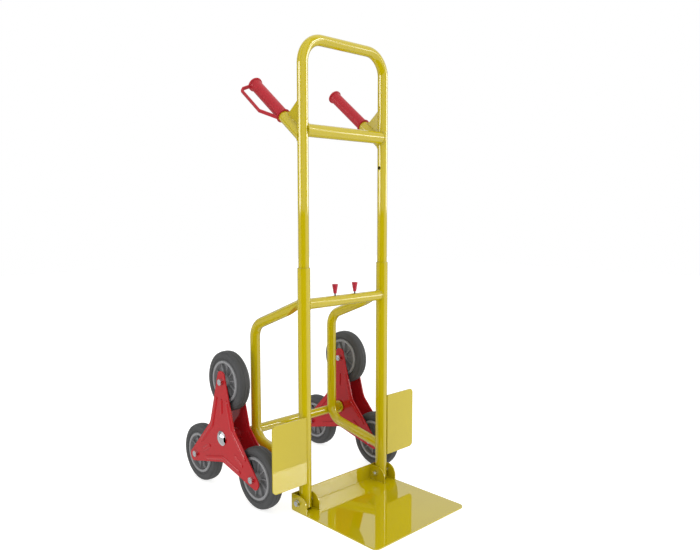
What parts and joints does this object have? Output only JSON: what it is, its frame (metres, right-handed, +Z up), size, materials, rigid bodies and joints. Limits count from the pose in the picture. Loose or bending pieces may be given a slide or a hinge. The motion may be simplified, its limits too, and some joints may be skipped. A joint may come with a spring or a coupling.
{
  "type": "stair climbing hand truck",
  "caption": "Folding two-legged hand truck with rotating three-arm wheel clusters for climbing stairs, a telescoping mast, side loops, guarded handle grips and a folding toe plate.",
  "frame": {"origin": "on the floor, at the middle of the trolley's footprint: midway between the toe plate's front edge and the back of the rear tyres, and midway between the sides", "axes": "+Z up along the mast, +Y towards the user who pushes it and the wheels, -Y towards the load and the toe plate, +X across to the right-hand side as seen looking along +Y"},
  "size_m": [0.5118, 0.7095, 1.187],
  "materials": {
    "yellow_paint": "gloss powder coat",
    "red_paint": "gloss paint",
    "red_grip": "moulded, semi-gloss",
    "red_knob": "moulded, gloss",
    "black_plastic": "moulded, matt",
    "black_steel": "blackened",
    "steel": "bright drawn",
    "zinc": "zinc plated",
    "chrome_cap": "polished",
    "tyre_rubber": "matt rubber",
    "rim_plastic": "moulded, satin"
  },
  "bodies": {
    "frame": {"upright_tube_left": "yellow_paint", "upright_tube_right": "yellow_paint", "guide_bush_left": "black_plastic", "guide_bush_right": "black_plastic", "mid_crossbar": "yellow_paint", "side_loop_left": "yellow_paint", "side_loop_right": "yellow_paint", "axle_cross_tube": "yellow_paint", "axle_shaft": "steel", "axle_collars": "yellow_paint", "thrust_washers": "zinc", "hub_cap_left": "chrome_cap", "hub_cap_right": "chrome_cap", "wing_plate_left": "yellow_paint", "wing_plate_right": "yellow_paint", "toe_hinge_bolts": "zinc", "toe_hinge_nuts": "zinc", "toe_hinge_washers": "zinc", "lock_spring_left": "steel", "lock_spring_right": "steel", "spring_stop": "steel"},
    "toe": {"toe_plate": "yellow_paint", "toe_hinge_ears": "yellow_paint"},
    "mast": {"sliding_mast": "yellow_paint", "mast_end_plugs": "black_plastic", "handle_rung": "yellow_paint", "handle_tubes": "yellow_paint", "handle_gussets": "yellow_paint", "grip_left": "red_grip", "grip_right": "red_grip"},
    "lock_left": {"lock_bolt_left": "steel", "release_stem_left": "black_steel", "release_knob_left": "red_knob"},
    "cluster_left": {"cluster_plate_outer_left": "red_paint", "cluster_plate_inner_left": "red_paint", "cluster_hub_tube_left": "red_paint", "wheel_bolts_left": "zinc", "wheel_nuts_left": "zinc", "wheel_sleeves_left": "zinc"},
    "wheel_top_left": {"tyre_top_left": "tyre_rubber", "rim_top_left": "rim_plastic"},
    "wheel_front_left": {"tyre_front_left": "tyre_rubber", "rim_front_left": "rim_plastic"},
    "wheel_rear_left": {"tyre_rear_left": "tyre_rubber", "rim_rear_left": "rim_plastic"},
    "lock_right": {"lock_bolt_right": "steel", "release_stem_right": "black_steel", "release_knob_right": "red_knob"},
    "cluster_right": {"cluster_plate_outer_right": "red_paint", "cluster_plate_inner_right": "red_paint", "cluster_hub_tube_right": "red_paint", "wheel_bolts_right": "zinc", "wheel_nuts_right": "zinc", "wheel_sleeves_right": "zinc"},
    "wheel_top_right": {"tyre_top_right": "tyre_rubber", "rim_top_right": "rim_plastic"},
    "wheel_front_right": {"tyre_front_right": "tyre_rubber", "rim_front_right": "rim_plastic"},
    "wheel_rear_right": {"tyre_rear_right": "tyre_rubber", "rim_rear_right": "rim_plastic"}
  },
  "joints": [
    {"name": "mast_slide", "type": "slide", "parent": "frame", "child": "mast", "axis": [0, 0, 1], "range_m": [-0.305, 0]},
    {"name": "toe_fold", "type": "hinge", "parent": "frame", "child": "toe", "pos_m": [0, -0.0807, 0.0246], "axis": [-1, 0, 0], "range_deg": [0, 90]},
    {"name": "lock_left_slide", "type": "slide", "parent": "frame", "child": "lock_left", "axis": [1, 0, 0], "range_m": [0, 0.012], "stiffness_N_per_m": 800, "springref_m": -0.008, "deforming": ["lock_spring_left"]},
    {"name": "lock_right_slide", "type": "slide", "parent": "frame", "child": "lock_right", "axis": [-1, 0, 0], "range_m": [0, 0.012], "stiffness_N_per_m": 800, "springref_m": -0.008, "deforming": ["lock_spring_right"]},
    {"name": "cluster_left_spin", "type": "hinge", "parent": "frame", "child": "cluster_left", "pos_m": [-0.2153, 0.1424, 0.15645], "axis": [1, 0, 0], "continuous": true},
    {"name": "wheel_top_left_spin", "type": "hinge", "parent": "cluster_left", "child": "wheel_top_left", "pos_m": [-0.2153, 0.1424, 0.30935], "axis": [1, 0, 0], "continuous": true},
    {"name": "wheel_front_left_spin", "type": "hinge", "parent": "cluster_left", "child": "wheel_front_left", "pos_m": [-0.2153, 0.00999, 0.08], "axis": [1, 0, 0], "continuous": true},
    {"name": "wheel_rear_left_spin", "type": "hinge", "parent": "cluster_left", "child": "wheel_rear_left", "pos_m": [-0.2153, 0.27481, 0.08], "axis": [1, 0, 0], "continuous": true},
    {"name": "cluster_right_spin", "type": "hinge", "parent": "frame", "child": "cluster_right", "pos_m": [0.2153, 0.1424, 0.15645], "axis": [1, 0, 0], "continuous": true},
    {"name": "wheel_top_right_spin", "type": "hinge", "parent": "cluster_right", "child": "wheel_top_right", "pos_m": [0.2153, 0.1424, 0.30935], "axis": [1, 0, 0], "continuous": true},
    {"name": "wheel_front_right_spin", "type": "hinge", "parent": "cluster_right", "child": "wheel_front_right", "pos_m": [0.2153, 0.00999, 0.08], "axis": [1, 0, 0], "continuous": true},
    {"name": "wheel_rear_right_spin", "type": "hinge", "parent": "cluster_right", "child": "wheel_rear_right", "pos_m": [0.2153, 0.27481, 0.08], "axis": [1, 0, 0], "continuous": true}
  ]
}
